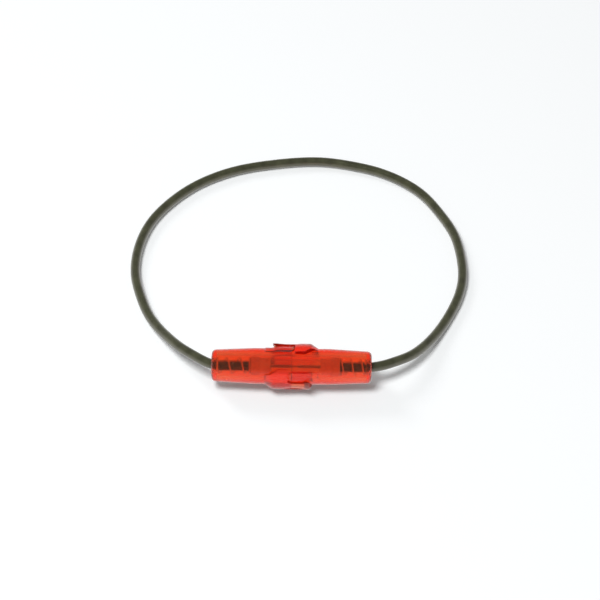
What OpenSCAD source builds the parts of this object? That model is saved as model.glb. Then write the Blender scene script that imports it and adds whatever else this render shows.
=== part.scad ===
// In-line holder for a glass-tube fuse: two identical twist-lock halves on an uncut loop of lead.
// +X runs along the holder to the right, +Y into the loop, +Z up. The claws stand on z = 0.

/* [Shell halves] */
// Length over both halves when closed
holder_l = 61.5; // [58:0.5:70]
// Radius of a half from its mouth to the start of its taper
shell_r = 6.9; // [6.6:0.05:7.4]
// Radius of a half at the end of its taper
shell_end_r = 6.15; // [5.6:0.05:6.4]
// Distance from the middle to the start of the taper
taper_from = 14.5; // [10.5:0.5:16]
// Radius of the rounded edge round the closed end
end_round = 1.7; // [0.5:0.1:2]
// Thickness of the closed end
end_wall = 2; // [1.5:0.1:2.5]
// Space between the two mouths
mouth_gap = 0.1; // [0.1:0.05:0.3]
// Chamfer inside the mouth
mouth_chamfer = 0.2; // [0.1:0.1:0.8]

/* [Twist lock] */
// Thickness of a claw
claw_t = 1.6; // [1.2:0.05:1.8]
// Radial clearance under a claw
claw_gap = 0.3; // [0.25:0.05:0.4]
// How far a claw reaches past the middle
claw_reach = 8; // [7.4:0.1:9]
// Length of the bevel at a claw's tip
tip_bevel = 1.4; // [0.8:0.1:2]
// How far the pointed nose of a claw reaches past the middle
nose_reach = 7.3; // [6.8:0.1:7.5]
// Length of the undercut below the nose
nose_undercut = 2.2; // [1.5:0.1:2.6]
// Depth of the shallow hollow in the outside of a claw behind its nose
hollow_d = 0.3; // [0.2:0.05:0.6]
// Distances past the middle between which that hollow runs, from
hollow_from = -3.4; // [-4:0.1:-1]
// and to
hollow_to = 5.6; // [5:0.1:6]
// Distance from the middle to the foot of a claw's ramp
ramp_foot = 10.3; // [9.5:0.1:10.5]
// Length of the ramp
ramp_l = 2.9; // [2:0.1:3.2]
// Turn about the holder's axis of the line that the halves are alike about
lock_axis = 118; // [112:1:124]
// Angle from the lock line to a claw's collar
collar_from = 25; // [22:1:28]
// Angle from the lock line to the back edge of a claw
claw_to = 160; // [154:1:163]
// Angle that the claw's nose takes up to
nose_to = 102; // [95:1:106]
// Width of a claw's cut corners, round the holder
corner_w = 1.7; // [1:0.1:2.2]
// Length of a claw's cut corners, along the holder
corner_l = 2.5; // [1.5:0.1:3]

/* [Tongue] */
// Angle from the lock line to the middle of the tongue's neck
tongue_at = 48; // [46:1:50]
// Width of the tongue's neck
neck_w = 3.2; // [2.6:0.1:3.6]
// How far the neck stands out of the half it grows from
neck_h = 0.35; // [0.2:0.05:0.4]
// How far the tongue's barb stands out from its neck
barb = 0.9; // [0.7:0.1:1.2]
// Thickness of the tongue
tongue_t = 0.65; // [0.5:0.05:0.9]
// Distance from the middle to where the neck rises into the tongue
neck_rise_at = 7.6; // [7.2:0.1:8.4]
// Length of that rise
neck_rise_l = 2; // [1.6:0.1:2.4]
// How far the tongue reaches past the middle
tongue_reach = 1; // [0.6:0.1:1.4]
// Corner radius of the tongue's tip
tongue_round = 1.2; // [0.8:0.1:1.5]
// Distance from the middle to where the barb starts to slope
barb_from = 4; // [3.6:0.1:4.4]
// Length of the barb's slope
barb_slope = 2.3; // [1.8:0.1:2.6]
// Clearance round the tongue in the other half's claw
hook_gap = 0.4; // [0.3:0.05:0.5]

/* [Fuse] */
// Length of the fuse over its caps
fuse_l = 31.75; // [30:0.25:32]
// Diameter of the fuse's caps
fuse_d = 6.35; // [6:0.05:6.5]
// Length of a cap
cap_l = 6.3; // [5:0.1:7]
// Sheet thickness of a cap
cap_t = 0.25; // [0.2:0.05:0.35]
// Wall of the glass tube
glass_wall = 0.6; // [0.4:0.05:0.8]
// Width of the melting strip
strip_w = 1.4; // [1:0.1:2]
// Width of the strip's waist
waist_w = 0.6; // [0.4:0.1:0.8]
// Thickness of the strip
strip_t = 0.2; // [0.15:0.05:0.3]
// Thickness of the solder inside a cap
cap_solder_t = 0.6; // [0.4:0.1:1]
// How far the fuse rests to the right of the middle, between its two springs
fuse_shift = 1.5; // [0:0.25:1.5]

/* [Contacts and springs] */
// Sheet thickness of a contact cup
cup_t = 0.3; // [0.25:0.05:0.4]
// Thickness of the cup's base
cup_base = 1.2; // [1:0.1:1.5]
// How far the cup's rim reaches over the fuse cap
cup_rim = 2.2; // [1.5:0.1:3]
// Radial clearance of the fuse cap in the cup
cup_fit = 0.125; // [0.1:0.025:0.175]
// Radial clearance of the cup in the shell's bore
bore_gap = 0.3; // [0.25:0.05:0.4]
// Mouth radius of the solder pocket in the cup
pocket_r = 2; // [1.6:0.1:2.4]
// Depth of the solder pocket
pocket_d = 0.7; // [0.5:0.1:0.8]
// Diameter of the spring's wire
spring_wire = 0.7; // [0.5:0.05:0.8]
// Mean radius of the spring
spring_r = 2.85; // [2.75:0.05:2.95]
// Turns of the spring, with its flat ends
spring_turns = 3.75; // [3:0.25:4]
// Flat turn at each end of the spring
flat_turn = 0.65; // [0.4:0.05:0.7]
// Turn at which the left spring's inner end starts
left_start = 250; // [0:5:355]
// Turn at which the right spring's inner end starts
right_start = 295; // [0:5:355]

/* [Lead] */
// Diameter over the lead's insulation
lead_d = 3.8; // [3.6:0.1:4]
// Diameter of the copper core
core_d = 2.05; // [1.6:0.05:2.3]
// Radial clearance of the lead in the hole of the closed end
lead_gap = 0.3; // [0.25:0.05:0.4]
// Radius of that hole where it flares out to the end face
flare_r = 2.95; // [2.8:0.05:3.2]

/* [Hidden] */
$fn = 96;
lead_r = lead_d / 2;
core_r = core_d / 2;
half_l = holder_l / 2;
half_gap = mouth_gap / 2;
fuse_half = fuse_l / 2;
fuse_r = fuse_d / 2;
cap_in_r = fuse_r - cap_t;
cup_in_r = fuse_r + cup_fit;
cup_r = cup_in_r + cup_t;
bore_r = cup_r + bore_gap;
claw_in_r = shell_r + claw_gap;
claw_r = claw_in_r + claw_t;
tongue_r = claw_in_r + tongue_t;
axis_z = claw_r;
cup_back = fuse_half + cup_base;
cup_floor = fuse_half + pocket_d;
seat_at = half_l - end_wall;
hub_r = (bore_r + shell_r) / 2;
slip = 0.02;
over = 0.5;
far = 20;
corner_turn = asin(corner_w / 2 / claw_r);
glass_r = cap_in_r - slip;
glass_in_r = glass_r - glass_wall;
cap_floor = fuse_half - cap_t;
strip_half = cap_floor - cap_solder_t;
spring_seat = spring_wire / 2 + slip;
spring_z1 = seat_at - spring_seat;
rings_per_turn = 8;

// Route of the lead's free stretch, out of the left half and round into the right one.
route = [
    [-27.5, 0, axis_z], [-30, 0.4, axis_z], [-32, 1.3, 8.7], [-34.5, 3, 8.5], [-38, 6, 8],
    [-43, 11, 6.9], [-48.5, 18.5, 4.9], [-53.5, 26.5, 3.1], [-58, 35.5, lead_r + 0.1],
    [-61.5, 45.5, lead_r], [-64, 56, lead_r], [-64.5, 67, lead_r], [-63, 78.5, lead_r],
    [-59, 90.5, lead_r], [-52.5, 101, lead_r], [-44, 110.5, lead_r], [-34.5, 117.5, lead_r],
    [-24, 122.5, lead_r], [-13, 125.5, lead_r], [-1.5, 127.5, lead_r], [10, 128, lead_r],
    [21.5, 126, lead_r], [32.5, 122.5, lead_r], [43, 116.5, lead_r], [52, 108, lead_r],
    [59, 96.5, lead_r], [64.5, 84, lead_r], [67, 71, lead_r], [67.5, 59, lead_r],
    [66, 49, lead_r], [62.5, 38.5, lead_r], [57.5, 27.5, 2.3], [52, 17.5, 4.1], [46, 9.5, 6.1],
    [40, 4.5, 7.7], [35.5, 1.8, 8.4], [32.5, 0.6, 8.7], [30.5, 0.1, axis_z], [28.5, 0, axis_z],
];
left_bend = -route[0].x;
right_bend = route[len(route) - 1].x;

red = [0.88, 0.22, 0.14, 0.8];
tin = [0.78, 0.77, 0.72];
steel = [0.6, 0.61, 0.62];
copper = [0.76, 0.46, 0.28];
olive = [0.27, 0.27, 0.22];

// The left half's own frame: +Z from its closed end to its mouth, with the middle at z = 0.
// Angles turn about that axis from the lock line.
module as_left() {
    translate([0, 0, axis_z]) rotate([lock_axis + 90, 0, 0]) rotate([0, 90, 0]) children();
}

// The right half is the left one turned half round about the lock line.
module as_right() {
    as_left() rotate([180, 0, 0]) children();
}

// Pieces turned about the holder's axis: z of the children is the distance from the fuse's middle.
module on_left() {
    translate([fuse_shift, 0, axis_z]) rotate([0, -90, 0]) children();
}

module on_right() {
    translate([fuse_shift, 0, axis_z]) rotate([0, 90, 0]) children();
}

// A tube from one height to another.
module tube(r_out, r_in, z0, z1) {
    translate([0, 0, z0]) difference() {
        cylinder(r = r_out, h = z1 - z0);
        translate([0, 0, -over]) cylinder(r = r_in, h = z1 - z0 + 2 * over);
    }
}

// An outline drawn across the axis (x) and along it (y), cut radially through the wall at an angle.
module through_wall(angle) {
    rotate([0, 0, angle]) translate([hub_r / 2, 0, 0]) rotate([90, 0, 90])
        linear_extrude(height = claw_r) children();
}

// Section of the tapered body, from its axis out.
module body_section() {
    polygon([
        [0, -half_l], [shell_end_r - end_round, -half_l], [shell_end_r, end_round - half_l],
        [shell_r, -taper_from], [shell_r, -half_gap], [0, -half_gap],
    ]);
    translate([shell_end_r - end_round, end_round - half_l]) circle(r = end_round);
}

// Section of the claws' ring: ramp, rim and the overhang past the mouth.
module claw_section() {
    buried = over * ramp_l / (claw_r - shell_r);
    polygon([
        [hub_r, -ramp_foot - buried], [shell_r - over, -ramp_foot - buried],
        [claw_r, ramp_l - ramp_foot], [claw_r, claw_reach + over], [claw_in_r, claw_reach + over],
        [claw_in_r, -half_gap], [hub_r, -half_gap],
    ]);
}

// Section of the tongue: a low neck with a slanting foot, which rises into the hooked end.
module tongue_section() {
    neck_r = shell_r + neck_h;
    polygon([
        [hub_r, -ramp_foot - over], [shell_r - over, -ramp_foot - over],
        [neck_r, neck_h - ramp_foot], [neck_r, -neck_rise_at],
        [tongue_r, neck_rise_l - neck_rise_at], [tongue_r, tongue_reach + far],
        [claw_in_r, tongue_reach + far], [claw_in_r, -half_gap], [hub_r, -half_gap],
    ]);
}

// Section of what a claw's tip loses between two reaches, at its inside and at its outside.
module tip_section(inner_reach, outer_reach) {
    lean = (outer_reach - inner_reach) / claw_t;
    polygon([
        [claw_in_r - over, inner_reach - lean * over], [claw_r + over, outer_reach + lean * over],
        [claw_r + over, claw_reach + far], [claw_in_r - over, claw_reach + far],
    ]);
}

// Section of the hollow behind a claw's nose: an arc over the stretch that it takes up.
module hollow_section() {
    half_chord = (hollow_to - hollow_from) / 2;
    arc_r = (half_chord * half_chord / hollow_d + hollow_d) / 2;
    translate([claw_r - hollow_d + arc_r, hollow_to - half_chord]) circle(r = arc_r);
}

// A section turned about the axis from one angle to another.
module sector(from, to) {
    rotate([0, 0, from]) rotate_extrude(angle = to - from) children();
}

// The tongue's outline, grown by g. Its barb is on the -x side.
module tongue_outline(g) {
    half_w = neck_w / 2;
    tip_y = tongue_reach - tongue_round;
    shift = g * tan(atan2(barb, barb_slope) / 2);
    polygon([
        [half_w + g, -ramp_foot - over], [half_w + g, tip_y],
        [half_w - tongue_round, tongue_reach + g],
        [tongue_round - half_w - barb, tongue_reach + g], [-half_w - barb - g, tip_y],
        [-half_w - barb - g, -barb_from - shift],
        [-half_w - g, -barb_from - barb_slope - shift], [-half_w - g, -ramp_foot - over],
    ]);
    for (x = [half_w - tongue_round, tongue_round - half_w - barb])
        translate([x, tip_y]) circle(r = tongue_round + g);
}

// What the other half's tongue needs to turn in and out of a claw: its outline with clearance,
// open towards the lock line.
module tongue_notch() {
    through_wall(tongue_at) {
        rotate([0, 0, 180]) tongue_outline(hook_gap);
        translate([-far / 2, -tongue_reach - hook_gap]) square([far / 2, far]);
    }
}

// Turns an outline over, left to right where side is -1 and end to end where way is -1.
module turned(side, way) {
    mirror([side < 0 ? 1 : 0, 0]) mirror([0, way < 0 ? 1 : 0]) children();
}

// A corner cut off a claw: slanting from y outwards over one corner length.
module cut_corner(angle, y, side, way) {
    through_wall(angle) turned(side, way) translate([0, y]) polygon([
        [-corner_w, 1.5 * corner_l], [corner_w, -corner_l / 2], [far / 4, -corner_l / 2],
        [far / 4, far / 2], [-corner_w, far / 2],
    ]);
}

// The claw: a rim that grows out of its own half and reaches over the other. It has a bevel
// at its tip, and an undercut below its pointed nose.
module claw() {
    difference() {
        sector(collar_from, claw_to) claw_section();
        sector(nose_to, claw_to + over) tip_section(claw_reach, claw_reach - tip_bevel);
        sector(collar_from - over, nose_to + over) tip_section(nose_reach - nose_undercut, nose_reach);
        sector(collar_from - over, nose_to - over) hollow_section();
        tongue_notch();
        cut_corner(collar_from + corner_turn, ramp_foot - ramp_l - corner_l, -1, -1);
        cut_corner(claw_to - corner_turn, ramp_foot - ramp_l - corner_l, 1, -1);
        cut_corner(claw_to - corner_turn, claw_reach - corner_l, 1, 1);
    }
}

// The tongue that hooks into the other half's claw.
module tongue() {
    intersection() {
        rotate_extrude() tongue_section();
        through_wall(-tongue_at) tongue_outline(0);
    }
}

module half_shell() {
    difference() {
        union() {
            rotate_extrude() body_section();
            claw();
            tongue();
        }
        translate([0, 0, -seat_at]) cylinder(r = bore_r, h = seat_at);
        translate([0, 0, -half_gap - mouth_chamfer])
            cylinder(r1 = bore_r, r2 = bore_r + mouth_chamfer, h = mouth_chamfer);
        translate([0, 0, -half_l]) cylinder(r1 = flare_r, r2 = lead_r + lead_gap, h = end_wall);
    }
}

module left_shell() {
    color(red) as_left() half_shell();
}

module right_shell() {
    color(red) as_right() half_shell();
}

// A round tube swept along points, as triangles, with its end faces square to t0 and t1.
module sweep(points, r, sides, t0, t1) {
    last = len(points) - 1;
    rings = [for (i = [0:last]) ring(points[i], i == 0 ? t0 : i == last ? t1
        : unit(points[i + 1] - points[i - 1]), r, sides)];
    walls = [for (i = [0:last - 1], k = [0:sides - 1])
        let (a = i * sides + k, b = i * sides + (k + 1) % sides)
        each [[a, b, b + sides], [a, b + sides, a + sides]]];
    start_cap = [for (k = [1:sides - 2]) [0, k + 1, k]];
    end_cap = [for (k = [1:sides - 2]) [0, k, k + 1] + last * sides * [1, 1, 1]];
    polyhedron([for (one = rings) each one], concat(start_cap, walls, end_cap));
}

function unit(v) = v / norm(v);

function ring(centre, t, r, sides) =
    let (side = unit(cross(t, [0, 0, 1])), up = cross(side, t))
    [for (k = [0:sides - 1]) centre + r * (cos(360 * k / sides) * side + sin(360 * k / sides) * up)];

// The spring's centre line: a helix that lies flat at both ends, up to a height of z1.
function spring_point(turn, start, z1) =
    let (z0 = cup_back + spring_seat, climb = (turn - flat_turn) / (spring_turns - 2 * flat_turn))
    [spring_r * cos(start + 360 * turn), spring_r * sin(start + 360 * turn),
     z0 + (z1 - z0) * max(0, min(1, climb))];

spring_steps = ceil(spring_turns * rings_per_turn);

module spring(start, z1) {
    line = [for (i = [0:spring_steps]) spring_point(spring_turns * i / spring_steps, start, z1)];
    end = start + 360 * spring_turns;
    least_gap = min([for (i = [0:spring_steps - 5], j = [i + 5:spring_steps])
        norm(line[i] - line[j])]) - spring_wire;
    color(steel) sweep(line, spring_wire / 2, 6, [-sin(start), cos(start), 0],
        [-sin(end), cos(end), 0]);
    echo(least_gap_between_spring_turns = least_gap);
}

module left_spring() {
    on_left() spring(left_start, spring_z1 + fuse_shift);
}

module right_spring() {
    on_right() spring(right_start, spring_z1 - fuse_shift);
}

// A cup that takes the end of the fuse, with a pocket in its base for the lead's solder.
module contact() {
    color(tin) rotate_extrude() polygon([
        [core_r + slip, cup_floor], [pocket_r, fuse_half], [cup_in_r, fuse_half],
        [cup_in_r, fuse_half - cup_rim], [cup_r, fuse_half - cup_rim],
        [cup_r, cup_back], [core_r + slip, cup_back],
    ]);
}

module left_contact() {
    on_left() contact();
}

module right_contact() {
    on_right() contact();
}

module joint_solder() {
    color(tin) translate([0, 0, fuse_half])
        cylinder(r1 = pocket_r - slip, r2 = core_r, h = pocket_d);
}

module left_joint_solder() {
    on_left() joint_solder();
}

module right_joint_solder() {
    on_right() joint_solder();
}

module left_core() {
    color(copper) on_left() translate([0, 0, cup_floor])
        cylinder(r = core_r, h = left_bend + fuse_shift - cup_floor);
}

module right_core() {
    color(copper) on_right() translate([0, 0, cup_floor])
        cylinder(r = core_r, h = right_bend - fuse_shift - cup_floor);
}

module left_insulation() {
    color(olive) on_left() tube(lead_r, core_r + slip, cup_back, left_bend + fuse_shift);
}

module right_insulation() {
    color(olive) on_right() tube(lead_r, core_r + slip, cup_back, right_bend - fuse_shift);
}

module lead_loop() {
    color(olive) sweep(route, lead_r, 8, [-1, 0, 0], [-1, 0, 0]);
}

module fuse_glass() {
    color([0.85, 0.92, 0.9, 0.4]) on_right() tube(glass_r, glass_in_r, -cap_floor, cap_floor);
}

// A cap pressed over the end of the glass, with a broken outer edge.
module fuse_cap() {
    color(tin) rotate_extrude() polygon([
        [0, cap_floor], [cap_in_r, cap_floor], [cap_in_r, fuse_half - cap_l],
        [fuse_r, fuse_half - cap_l], [fuse_r, fuse_half - cap_t], [fuse_r - cap_t, fuse_half],
        [0, fuse_half],
    ]);
}

module left_fuse_cap() {
    on_left() fuse_cap();
}

module right_fuse_cap() {
    on_right() fuse_cap();
}

// The melting strip, waisted in the middle.
module fuse_strip() {
    color(tin) translate([fuse_shift, 0, axis_z - strip_t / 2]) linear_extrude(height = strip_t) polygon([
        [-strip_half, -strip_w / 2], [-strip_w, -strip_w / 2], [-waist_w, -waist_w / 2],
        [waist_w, -waist_w / 2], [strip_w, -strip_w / 2], [strip_half, -strip_w / 2],
        [strip_half, strip_w / 2], [strip_w, strip_w / 2], [waist_w, waist_w / 2],
        [-waist_w, waist_w / 2], [-strip_w, strip_w / 2], [-strip_half, strip_w / 2],
    ]);
}

module cap_solder() {
    color(tin) translate([0, 0, strip_half])
        cylinder(r = glass_in_r - slip, h = cap_solder_t);
}

module left_fuse_solder() {
    on_left() cap_solder();
}

module right_fuse_solder() {
    on_right() cap_solder();
}

left_shell();
right_shell();
left_spring();
right_spring();
left_contact();
right_contact();
left_joint_solder();
right_joint_solder();
left_core();
right_core();
left_insulation();
right_insulation();
lead_loop();
fuse_glass();
left_fuse_cap();
right_fuse_cap();
fuse_strip();
left_fuse_solder();
right_fuse_solder();
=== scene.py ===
import math

import bpy
import numpy as np
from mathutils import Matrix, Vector


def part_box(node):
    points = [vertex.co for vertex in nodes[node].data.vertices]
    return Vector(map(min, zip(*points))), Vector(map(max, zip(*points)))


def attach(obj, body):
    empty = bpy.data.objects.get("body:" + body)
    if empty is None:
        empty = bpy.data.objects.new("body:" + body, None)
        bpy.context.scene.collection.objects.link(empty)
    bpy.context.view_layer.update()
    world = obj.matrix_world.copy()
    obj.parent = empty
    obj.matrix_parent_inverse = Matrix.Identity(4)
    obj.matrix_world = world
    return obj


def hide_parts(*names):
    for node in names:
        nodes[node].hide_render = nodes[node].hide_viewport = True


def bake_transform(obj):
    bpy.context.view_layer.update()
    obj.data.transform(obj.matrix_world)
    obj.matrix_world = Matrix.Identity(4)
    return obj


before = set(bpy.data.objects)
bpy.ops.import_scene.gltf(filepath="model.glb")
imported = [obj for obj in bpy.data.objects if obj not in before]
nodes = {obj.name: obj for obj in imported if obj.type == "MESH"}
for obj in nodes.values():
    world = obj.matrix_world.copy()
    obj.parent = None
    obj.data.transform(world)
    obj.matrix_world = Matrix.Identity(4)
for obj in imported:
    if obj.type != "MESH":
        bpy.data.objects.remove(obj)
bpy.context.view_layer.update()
print("frame loaded:", len(nodes), "nodes")

mm = 0.001
axisHeight = 8.8 * mm                          # the holder's axis over the floor
holderMiddle = np.array([0, 0, axisHeight])
scene = bpy.context.scene


def addObject(name, data):
    made = bpy.data.objects.new(name, data)
    scene.collection.objects.link(made)
    return made


def lookAlong(thing, way):                     # its -Z points along the way, and its Y stays up
    thing.rotation_mode = "QUATERNION"
    thing.rotation_quaternion = Vector(way).to_track_quat("-Z", "Y")


# A closed tube from a grid of points (rows along it, columns round it, 3). Each row joins the next
# in quads, the last column joins the first, and a fan round a middle point shuts each end. Its UV
# map has the share of the way round across it, and the metres along it upward.
def tubeMesh(name, grid, along):
    rows, columns = grid.shape[:2]
    row, column = np.meshgrid(np.arange(rows - 1), np.arange(columns), indexing="ij")
    after = (column + 1) % columns
    quads = np.stack([row * columns + column, row * columns + after,
                      (row + 1) * columns + after, (row + 1) * columns + column], axis=-1).reshape(-1, 4)
    middles = np.stack([grid[0].mean(axis=0), grid[-1].mean(axis=0)])
    points = np.concatenate([grid.reshape(-1, 3), middles])
    ring = np.arange(columns)
    around = (ring + 1) % columns
    last = (rows - 1) * columns
    startFan = np.stack([around, ring, np.full(columns, rows * columns)], axis=1)
    endFan = np.stack([last + ring, last + around, np.full(columns, rows * columns + 1)], axis=1)
    mesh = bpy.data.meshes.new(name)
    mesh.from_pydata(points.tolist(), [], quads.tolist() + startFan.tolist() + endFan.tolist())
    mesh.update()
    mesh.shade_smooth()
    layer = mesh.uv_layers.new(name="along")
    across = np.stack([column, column + 1, column + 1, column], axis=-1) / columns
    lengths = np.stack([along[row], along[row], along[row + 1], along[row + 1]], axis=-1)
    flat = np.zeros((len(mesh.loops), 2), np.float32)
    flat[:quads.size, 0] = across.ravel()
    flat[:quads.size, 1] = lengths.ravel()
    layer.data.foreach_set("uv", flat.ravel())
    return addObject(name, mesh)


# The smooth line through the points: on each stretch a cubic in the distance run, whose slopes are
# alike where stretches meet (the tridiagonal spline equations), with a set direction at both ends.
def smoothLine(points, startWay, endWay, step):
    points = np.array(points, float)
    run = np.concatenate([[0], np.cumsum(np.linalg.norm(np.diff(points, axis=0), axis=1))])
    gap = np.diff(run)
    rise = np.diff(points, axis=0) / gap[:, None]
    count = len(points)
    system = np.zeros((count, count))
    known = np.zeros((count, 3))
    inner = np.arange(1, count - 1)
    system[inner, inner - 1] = gap[1:]
    system[inner, inner] = 2 * (gap[:-1] + gap[1:])
    system[inner, inner + 1] = gap[:-1]
    known[inner] = 3 * (rise[:-1] * gap[1:, None] + rise[1:] * gap[:-1, None])
    system[0, 0] = system[-1, -1] = 1
    known[0], known[-1] = startWay, endWay
    slope = np.linalg.solve(system, known)
    at = np.linspace(0, run[-1], math.ceil(run[-1] / step) + 1)
    part = np.clip(np.searchsorted(run, at, side="right") - 1, 0, count - 2)
    width = gap[part][:, None]
    t = ((at - run[part])[:, None]) / width
    return ((2 * t**3 - 3 * t**2 + 1) * points[part] + (t**3 - 2 * t**2 + t) * width * slope[part]
            + (3 * t**2 - 2 * t**3) * points[part + 1] + (t**3 - t**2) * width * slope[part + 1])


# A round profile carried along a line: the line's point, plus the radius times the cosine of the turn
# towards the level side and its sine towards the top, both square to the line's direction.
def tubeGrid(line, radius, sides, upright=(0, 0, 1)):
    way = np.gradient(line, axis=0)
    way /= np.linalg.norm(way, axis=1)[:, None]
    level = np.cross(way, upright)
    level /= np.linalg.norm(level, axis=1)[:, None]
    top = np.cross(level, way)
    turn = np.linspace(0, 2 * math.pi, sides, endpoint=False)
    radius = np.broadcast_to(radius, len(line))[:, None, None]
    return (line[:, None] + radius * (np.cos(turn)[None, :, None] * level[:, None]
                                      + np.sin(turn)[None, :, None] * top[:, None]))


def runOf(line):                               # metres run at each point: its steps added up
    return np.concatenate([[0], np.cumsum(np.linalg.norm(np.diff(line, axis=0), axis=1))])


cameraSet = {
    "elevation": 44.0,                         # degrees above the floor
    "azimuth": 1.15,                           # degrees round to the right
    "distance": 1.0,                           # from the holder's middle, m
    "focalPixels": 2600.0,                     # focal length in pixels of the picture
    "pictureWidth": 600.0,
    "holderPixel": (291.6, 366.4),             # where the holder's middle stands in the picture
    "sensorWidth": 36.0,                       # mm
    "clip": (0.05, 50),                        # nearest and farthest that it sees, m
}


# The camera stands back from the holder's middle along its view, and is then shifted in its own
# plane by the middle's offset in pixels, over the focal length, times the distance.
def makeCamera(s):
    a, e = math.radians(s["azimuth"]), math.radians(s["elevation"])
    back = np.array([math.sin(a) * math.cos(e), -math.cos(a) * math.cos(e), math.sin(e)])
    right = np.array([math.cos(a), math.sin(a), 0])
    up = np.cross(back, right)
    half = s["pictureWidth"] / 2
    across = (s["holderPixel"][0] - half) / s["focalPixels"]
    above = (half - s["holderPixel"][1]) / s["focalPixels"]
    place = holderMiddle - (across * right + above * up - back) * s["distance"]
    data = bpy.data.cameras.new("camera")
    data.sensor_width = s["sensorWidth"]
    data.lens = s["focalPixels"] / s["pictureWidth"] * s["sensorWidth"]
    data.clip_start, data.clip_end = s["clip"]
    scene.camera = addObject("camera", data)
    scene.camera.location = place.tolist()
    lookAlong(scene.camera, (-back).tolist())


makeCamera(cameraSet)
print("camera set")

leadSet = {
    "radius": 1.9 * mm,
    "sides": 28,                               # flats round the lead
    "step": 0.9 * mm,                          # between its rings
    "route": [                                 # m, out of the left half and round to the right one
        (-0.0275, 0, 0.0088), (-0.030, 0.0004, 0.0088), (-0.032, 0.0013, 0.0087),
        (-0.0345, 0.003, 0.0085), (-0.038, 0.006, 0.0080), (-0.043, 0.011, 0.0069),
        (-0.0485, 0.0185, 0.0049), (-0.0535, 0.0265, 0.0031), (-0.058, 0.0355, 0.0020),
        (-0.0615, 0.0455, 0.0019), (-0.064, 0.056, 0.0019), (-0.0645, 0.067, 0.0019),
        (-0.063, 0.0785, 0.0019), (-0.059, 0.0905, 0.0019), (-0.0525, 0.101, 0.0019),
        (-0.044, 0.1105, 0.0019), (-0.0345, 0.1175, 0.0019), (-0.024, 0.1225, 0.0019),
        (-0.013, 0.1255, 0.0019), (-0.0015, 0.1275, 0.0019), (0.010, 0.128, 0.0019),
        (0.0215, 0.126, 0.0019), (0.0325, 0.1225, 0.0019), (0.043, 0.1165, 0.0019),
        (0.052, 0.108, 0.0019), (0.059, 0.0965, 0.0019), (0.0645, 0.084, 0.0019),
        (0.067, 0.071, 0.0019), (0.0675, 0.059, 0.0019), (0.066, 0.049, 0.0019),
        (0.0625, 0.0385, 0.0019), (0.0575, 0.0275, 0.0023), (0.052, 0.0175, 0.0041),
        (0.046, 0.0095, 0.0061), (0.040, 0.0045, 0.0077), (0.0355, 0.0018, 0.0084),
        (0.0325, 0.0006, 0.0087), (0.0305, 0.0001, 0.0088), (0.0285, 0, 0.0088),
    ],
}


# The route made smooth and kept off the floor, with a round profile carried along it.
def makeLead(s):
    line = smoothLine(s["route"], (-1, 0, 0), (-1, 0, 0), s["step"])
    line[:, 2] = np.maximum(line[:, 2], s["radius"])
    length = runOf(line)
    piece = tubeMesh("lead", tubeGrid(line, s["radius"], s["sides"]), length)
    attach(piece, "fixed_half")
    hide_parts("lead_loop")
    print("lead made,", round(float(length[-1]) * 1000, 1), "mm long")
    return piece


lead = makeLead(leadSet)

springSet = {
    "wireRadius": 0.35 * mm,
    "meanRadius": 2.85 * mm,
    "turns": 3.75,
    "flatTurn": 0.65,                          # turns that lie flat at each end
    "leftStart": 250.0,                        # degrees at which the inner end starts
    "rightStart": 295.0,
    "sides": 16,                               # flats round the wire
    "stepsPerTurn": 60,
}


# A helix: the mean radius times the sine and cosine of an even angle, while the climb along the axis
# rests at both ends and runs evenly between.
def springLine(s, way, start, inner, outer):
    turn = np.linspace(0, s["turns"], int(s["turns"] * s["stepsPerTurn"]) + 1)
    climb = np.clip((turn - s["flatTurn"]) / (s["turns"] - 2 * s["flatTurn"]), 0, 1)
    angle = math.radians(start) + 2 * math.pi * turn
    along = inner + (outer - inner) * climb
    return np.stack([way * along, s["meanRadius"] * np.sin(angle),
                     -way * s["meanRadius"] * np.cos(angle)], axis=1)


# A round wire carried along the helix, which fills the length of the spring's box. The right spring
# stretches between its two bodies.
def makeSpring(side, s):
    low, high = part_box(side + "_spring")
    way = 1 if side == "right" else -1
    near, far = sorted((abs(low[0]), abs(high[0])))
    line = holderMiddle + springLine(s, way, s[side + "Start"], near + s["wireRadius"],
                                     far - s["wireRadius"])
    grid = tubeGrid(line, s["wireRadius"], s["sides"], upright=(1, 0, 0))
    piece = tubeMesh(side + "SpringWire", grid, runOf(line))
    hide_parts(side + "_spring")
    if side == "left":
        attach(piece, "fixed_half")
    else:
        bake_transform(piece)
    return piece


springs = [makeSpring(side, springSet) for side in ("left", "right")]
print("springs made")


# One output socket. Python's operators on it add Math nodes.
class Signal:
    def __init__(self, surface, socket):
        self.surface = surface
        self.socket = socket

    def __add__(self, other):
        return self.surface.maths("ADD", self, other)

    __radd__ = __add__

    def __rsub__(self, other):
        return self.surface.maths("SUBTRACT", other, self)

    def __mul__(self, other):
        return self.surface.maths("MULTIPLY", self, other)

    __rmul__ = __mul__

    def over(self, low, high, start=0.0, end=1.0):   # start below low, end above high, even between
        return self.surface.node("MapRange", {"clamp": True}, {
            "Value": self, "From Min": low, "From Max": high, "To Min": start, "To Max": end})["Result"]


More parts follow.
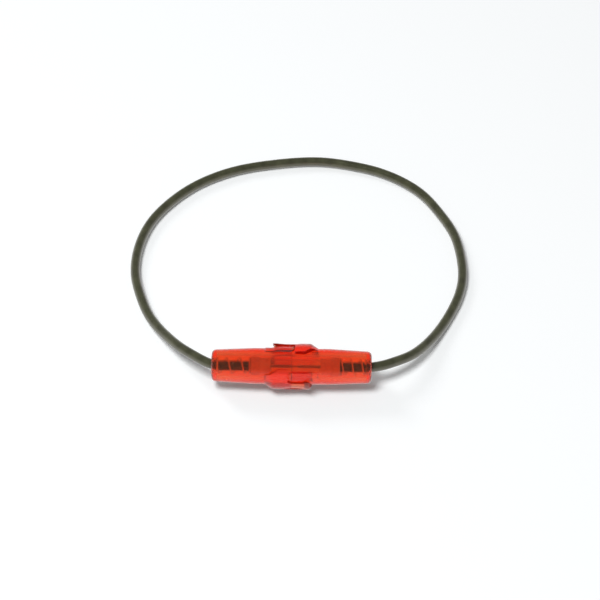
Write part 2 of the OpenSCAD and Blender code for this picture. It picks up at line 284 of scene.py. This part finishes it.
# The node tree of a material or a world. node() adds any node: its type, its settings, then its
# sockets.
class Surface:
    def __init__(self, owner, kind="OutputMaterial"):
        self.owner = owner
        owner.use_nodes = True
        self.tree = owner.node_tree
        self.tree.nodes.clear()
        self.output = self.tree.nodes.new("ShaderNode" + kind)

    def node(self, kind, settings=None, sockets=None):
        made = self.tree.nodes.new("ShaderNode" + kind)
        for key, value in (settings or {}).items():
            setattr(made, key, value)
        for key, value in (sockets or {}).items():
            self.feed(made.inputs[key], value)
        return {socket.name: Signal(self, socket) for socket in made.outputs if socket.enabled}

    def feed(self, socket, value):             # a link from a signal, or a plain value
        if isinstance(value, Signal):
            self.tree.links.new(value.socket, socket)
        else:
            socket.default_value = value

    def maths(self, operation, *values):
        return self.node("Math", {"operation": operation}, dict(enumerate(values)))["Value"]

    def place(self, scale=(1, 1, 1)):          # Object coordinates, stretched
        raw = self.node("TexCoord")["Object"]
        return self.node("Mapping", None, {"Vector": raw, "Scale": scale})["Vector"]

    def noise(self, vector, scale, detail):
        return self.node("TexNoise", None, {"Vector": vector, "Scale": scale, "Detail": detail})["Fac"]

    def blendColour(self, factor, first, second):
        made = self.node("Mix", {"data_type": "RGBA"})
        inputs = [socket for socket in made["Result"].socket.node.inputs if socket.enabled]
        for socket, value in zip(inputs, (factor, first, second)):
            self.feed(socket, value)
        return made["Result"]

    def bump(self, height, depth, strength, under=None):
        sockets = {"Height": height, "Distance": depth, "Strength": strength}
        if under is not None:
            sockets["Normal"] = under
        return self.node("Bump", None, sockets)["Normal"]

    def show(self, shader):
        self.feed(self.output.inputs["Surface"], shader)

    def finish(self, sockets):
        self.show(self.node("BsdfPrincipled", None, sockets)["BSDF"])
        return self.owner


def newSurface(name):
    return Surface(bpy.data.materials.new(name))


# Colours of 0 to 255 as seen, to the shader's own linear values: a straight line for the darkest and
# a power of 2.4 above it.
def rgba(red, green, blue):
    def linear(value):
        value /= 255
        return value / 12.92 if value <= 0.04045 else ((value + 0.055) / 1.055) ** 2.4
    return (linear(red), linear(green), linear(blue), 1.0)


patches = (0.3, 0.7)                           # where a noise turns from a dark to a light colour


def patchColour(surface, noise, s):            # its dark and light colours, mixed by the noise
    return surface.blendColour(noise.over(*patches), rgba(*s["dark"]), rgba(*s["light"]))


redSet = {
    "dark": (255, 170, 106),
    "light": (255, 182, 118),
    "cloudScale": 180.0,                       # of the patches, per metre
    "cloudDetail": 4.0,
    "body": (1.0, 0.25, 0.07, 1),              # colour that its thickness takes on
    "density": 325.0,                          # how fast, per metre
    "paintedGapShade": (187, 80, 52),                   # painted shade on the side walls of the twist lock's gaps
    "gapShadeRadius": (7.22 * mm, 7.45 * mm),    # from the axis: inside of it nothing darkens
    "gapShadeTurn": (0.45, 0.8),                 # how far a wall faces sideways before it darkens
    "clearness": 0.97,
    "gloss": 0.55,
    "ior": 1.49,
    "edgeRadius": 0.18 * mm,
    "edgeSamples": 8,
    "flowScale": 900.0,                        # of the fine ripple, drawn out along the holder
    "flowDetail": 3.0,
    "flowStretch": (0.25, 1, 1),
    "rough": 0.18,
    "rougher": 0.1,                            # added where the ripple stands high
    "flowRange": (0.35, 0.75),
    "rippleDepth": 0.01 * mm,
    "rippleStrength": 0.25,
}


# Clear plastic that colours light by its thickness, with painted shade on the side walls of the twist
# lock's gaps. Outward is the direction from the holder's axis, and a gap's side wall is where the
# surface's normal hardly points along it: 1 minus the size of their dot product.
def makeRed(s):
    surface = newSurface("redPlastic")
    cloud = surface.noise(surface.place(), s["cloudScale"], s["cloudDetail"])
    flow = surface.noise(surface.place(s["flowStretch"]), s["flowScale"], s["flowDetail"])
    colour = patchColour(surface, cloud, s)
    centred = surface.node("VectorMath", {"operation": "SUBTRACT"},
                           {0: surface.node("TexCoord")["Object"], 1: (0, 0, axisHeight)})["Vector"]
    across = surface.node("VectorMath", {"operation": "MULTIPLY"}, {0: centred, 1: (0, 1, 1)})["Vector"]
    radius = surface.node("VectorMath", {"operation": "LENGTH"}, {0: across})["Value"]
    outward = surface.node("VectorMath", {"operation": "NORMALIZE"}, {0: across})["Vector"]
    facing = surface.node("VectorMath", {"operation": "DOT_PRODUCT"}, {
        0: surface.node("NewGeometry")["Normal"], 1: outward})["Value"]
    sideways = 1 - surface.maths("ABSOLUTE", facing)
    # painted shade: the gaps' side walls, away from the axis, take the darker colour
    paintedGapShade = sideways.over(*s["gapShadeTurn"]) * radius.over(*s["gapShadeRadius"])
    colour = surface.blendColour(paintedGapShade, colour, rgba(*s["paintedGapShade"]))
    soft = surface.node("Bevel", {"samples": s["edgeSamples"]}, {"Radius": s["edgeRadius"]})["Normal"]
    depth = surface.node("VolumeAbsorption", None, {"Color": s["body"], "Density": s["density"]})
    surface.feed(surface.output.inputs["Volume"], depth["Volume"])
    return surface.finish({
        "Base Color": colour,
        "Roughness": s["rough"] + s["rougher"] * flow.over(*s["flowRange"]),
        "Normal": surface.bump(flow, s["rippleDepth"], s["rippleStrength"], under=soft),
        "IOR": s["ior"], "Transmission Weight": s["clearness"], "Specular IOR Level": s["gloss"],
    })


# mottle is the scale of the colour's patches and of the gloss, grain that of the fine bump
leadFinish = {
    "dark": (50, 52, 34), "light": (74, 76, 54), "sheen": (1.0, 0.93, 0.78, 1),
    "coat": 0.5, "coatRough": 0.3, "gloss": 0.9, "rough": 0.26, "rougher": 0.16,
    "mottle": 260.0, "mottleDetail": 4.0, "grain": 2600.0, "grainDetail": 3.0,
    "grainDepth": 0.02 * mm, "grainStrength": 0.4,
}
# painted shade: the lead inside the halves is the outer lead's finish made darker
# the same lead inside the halves: darker and with less shine, chosen
shadedLeadFinish = {**leadFinish, "dark": (26, 20, 14), "light": (40, 32, 24), "coat": 0.0, "gloss": 0.4}


# Two tones in patches, rougher where they are light, with a fine grain that only bumps.
def makeInsulation(name, s):
    surface = newSurface(name)
    place = surface.place()
    mottle = surface.noise(place, s["mottle"], s["mottleDetail"])
    grain = surface.noise(place, s["grain"], s["grainDetail"])
    return surface.finish({
        "Base Color": patchColour(surface, mottle, s), "Roughness": s["rough"] + s["rougher"] * mottle,
        "Specular IOR Level": s["gloss"], "Specular Tint": s["sheen"],
        "Normal": surface.bump(grain, s["grainDepth"], s["grainStrength"]),
        "Coat Weight": s["coat"], "Coat Roughness": s["coatRough"],
    })


# scale is that of the spots, and depth how far they stand out
metalSet = {
    "springSteel": {"dark": (214, 212, 206), "light": (236, 235, 232), "rough": 0.18, "scale": 3000.0,
                    "depth": 0.01 * mm},
    "tinnedBrass": {"dark": (214, 210, 198), "light": (236, 232, 222), "rough": 0.25, "scale": 1500.0,
                    "depth": 0.01 * mm},
    "nickelCap": {"dark": (224, 222, 216), "light": (242, 240, 236), "rough": 0.3, "scale": 1200.0,
                  "depth": 0.01 * mm},
    "dullSolder": {"dark": (140, 142, 142), "light": (186, 188, 188), "rough": 0.35, "scale": 2200.0,
                   "depth": 0.03 * mm},
    "bareCopper": {"dark": (184, 108, 70), "light": (220, 140, 98), "rough": 0.28, "scale": 2400.0,
                   "depth": 0.02 * mm},
    "zincStrip": {"dark": (160, 162, 166), "light": (200, 202, 206), "rough": 0.3, "scale": 1800.0,
                  "depth": 0.01 * mm},
}
metalCommon = {
    "detail": 4.0,
    "rougher": 0.15,                           # added to the roughness where the spots stand high
    "strength": 0.4,
}


# Two tones in spots, rougher and raised where they are light.
def makeMetal(name, s):
    surface = newSurface(name)
    spots = surface.noise(surface.place(), s["scale"], s["detail"])
    return surface.finish({
        "Base Color": patchColour(surface, spots, s), "Metallic": 1.0,
        "Roughness": s["rough"] + s["rougher"] * spots,
        "Normal": surface.bump(spots, s["depth"], s["strength"]),
    })


glassSet = {
    "dark": (236, 246, 240), "light": (250, 254, 252), "rough": 0.02, "rougher": 0.03, "ior": 1.51,
    "drawnScale": 700.0,                       # of the faint streaks along the tube
    "drawnDetail": 2.0, "drawnStretch": (0.2, 1, 1), "drawnDepth": 0.01 * mm, "drawnStrength": 0.2,
}


# Clear, with the streaks in its tint, its roughness and its bump.
def makeGlass(s):
    surface = newSurface("fuseGlass")
    drawn = surface.noise(surface.place(s["drawnStretch"]), s["drawnScale"], s["drawnDetail"])
    return surface.finish({
        "Base Color": surface.blendColour(drawn, rgba(*s["dark"]), rgba(*s["light"])),
        "Roughness": s["rough"] + s["rougher"] * drawn,
        "Normal": surface.bump(drawn, s["drawnDepth"], s["drawnStrength"]),
        "Transmission Weight": 1.0, "IOR": s["ior"],
    })


redPlastic = makeRed(redSet)
oliveInsulation = makeInsulation("oliveInsulation", leadFinish)
shadedInnerInsulation = makeInsulation("shadedInnerInsulation", shadedLeadFinish)
metals = {name: makeMetal(name, {**metalCommon, **s}) for name, s in metalSet.items()}
fuseGlass = makeGlass(glassSet)


def paint(piece, material):
    piece.data.materials.clear()
    piece.data.materials.append(material)


bothSides = {
    "shell": redPlastic, "insulation": shadedInnerInsulation, "contact": metals["tinnedBrass"],
    "joint_solder": metals["dullSolder"], "fuse_solder": metals["dullSolder"],
    "core": metals["bareCopper"], "fuse_cap": metals["nickelCap"],
}
for side in ("left", "right"):
    for part, material in bothSides.items():
        paint(nodes[side + "_" + part], material)
paint(lead, oliveInsulation)
for spring in springs:
    paint(spring, metals["springSteel"])
paint(nodes["fuse_glass"], fuseGlass)
paint(nodes["fuse_strip"], metals["zincStrip"])
print("materials set")

stageSet = {
    "floorSize": 6.0,                          # m
    "floorColour": (0.92, 0.94, 0.95, 1),
    "lift": 0.12,                              # what the floor gives off by itself
    "clearShare": 0.98,                        # how much of its shadow clear pieces don't see
    "worldLevel": 0.2,                         # what the room gives off all round
    "glossCeiling": 0.25,                      # its ceiling, as gloss shows it
    "glossRise": 0.35,                         # how high a ray points before gloss shows that
    "clearCeiling": 0.95,                      # the ceiling as clear pieces show it, straight up
    "lampAim": (0, 0.03, 0),                   # on the floor inside the loop, m
}
lampSet = {                                    # power in W, size in m
    "keyLamp": {"power": 36.5, "place": (-0.6, -0.55, 2.0), "size": 0.85},
    "fillLamp": {"power": 18.0, "place": (-1.8, 1.8, 1.6), "size": 0.9},
}


def beforeDull(surface, rays):                 # 1 until the light meets a dull surface, then 0
    return surface.maths("LESS_THAN", rays["Diffuse Depth"], 0.5)


# One square. Gloss and clear pieces see it white, with little of its shadow.
def makeFloor(s):
    half = s["floorSize"] / 2
    mesh = bpy.data.meshes.new("floor")
    mesh.from_pydata([(-half, -half, 0), (half, -half, 0), (half, half, 0), (-half, half, 0)], [],
                     [(0, 1, 2, 3)])
    floor = addObject("floor", mesh)
    surface = newSurface("paleFloor")
    shade = surface.node("BsdfDiffuse", None, {"Color": s["floorColour"]})["BSDF"]
    lift = surface.node("Emission", None, {"Strength": s["lift"]})["Emission"]
    lit = surface.node("AddShader", None, {0: shade, 1: lift})["Shader"]
    white = surface.node("Emission", None, {"Strength": 1.0})["Emission"]
    rays = surface.node("LightPath")
    either = surface.maths("MAXIMUM", rays["Is Glossy Ray"], rays["Is Transmission Ray"])
    share = either * beforeDull(surface, rays) * s["clearShare"]
    surface.show(surface.node("MixShader", None, {0: share, 1: lit, 2: white})["Shader"])
    floor.data.materials.append(surface.owner)


# A square lamp that lights but isn't seen in gloss or through clear pieces.
def makeLamp(name, s, aim):
    data = bpy.data.lights.new(name, "AREA")
    data.shape = "SQUARE"
    data.size, data.energy = s["size"], s["power"]
    lamp = addObject(name, data)
    lamp.location = s["place"]
    lookAlong(lamp, Vector(aim) - Vector(s["place"]))
    lamp.visible_glossy = lamp.visible_transmission = False


# The camera sees plain white, and so do gloss and clear pieces at the horizon and below. Above it the
# room dims towards its ceiling, quickly for gloss and slowly for clear pieces. Light that has already
# met a dull surface sees one even level.
def makeWorld(s):
    scene.world = bpy.data.worlds.new("studio")
    surface = Surface(scene.world, "OutputWorld")
    rays = surface.node("LightPath")
    direct = beforeDull(surface, rays)
    way = surface.node("TexCoord")["Generated"]
    upward = surface.node("SeparateXYZ", None, {"Vector": way})["Z"]
    glossLevel = upward.over(0.0, s["glossRise"], 1.0, s["glossCeiling"])
    clearLevel = upward.over(0.0, 1.0, 1.0, s["clearCeiling"])
    level = (rays["Is Glossy Ray"] * direct).over(0.0, 1.0, s["worldLevel"], glossLevel)
    level = (rays["Is Transmission Ray"] * direct).over(0.0, 1.0, level, clearLevel)
    strength = surface.maths("MAXIMUM", level, rays["Is Camera Ray"])
    surface.show(surface.node("Background", None, {"Strength": strength})["Background"])


makeFloor(stageSet)
makeWorld(stageSet)
for name, values in lampSet.items():
    makeLamp(name, values, stageSet["lampAim"])
scene.view_settings.view_transform = "Standard"
print("stage set")
